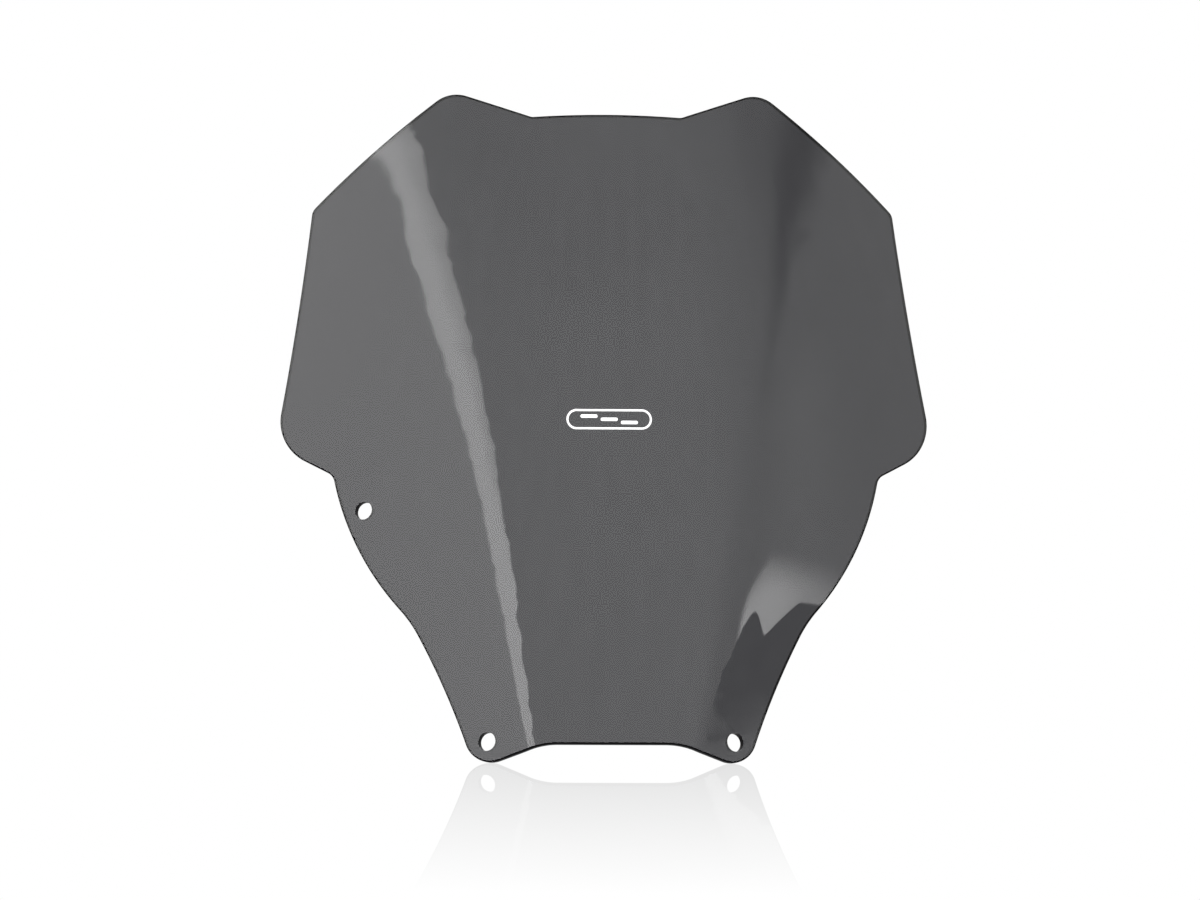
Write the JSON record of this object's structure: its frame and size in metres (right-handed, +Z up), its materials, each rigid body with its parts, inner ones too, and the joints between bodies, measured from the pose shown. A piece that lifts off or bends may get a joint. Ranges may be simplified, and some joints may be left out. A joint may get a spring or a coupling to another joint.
{
  "type": "windshield screen",
  "caption": "One-piece swept and curved smoked acrylic windshield screen with two lower fixing feet, a side fixing hole and a small printed mark.",
  "frame": {"origin": "bottom centre of the bounding box, on the plane of symmetry of the outline, at the level of the lowest point of the two feet", "axes": "+Z up along the screen's height, +X to the right seen from the outer (wind) side, +Y backwards towards the rider; the outer face looks towards -Y"},
  "size_m": [0.424, 0.1868, 0.4318],
  "materials": {
    "smoked_acrylic": "clear dark smoked acrylic, polished on both faces",
    "white_ink": "matt white screen-printing ink"
  },
  "bodies": {
    "root": {"screen": "smoked_acrylic", "printed_mark": "white_ink"}
  },
  "joints": []
}
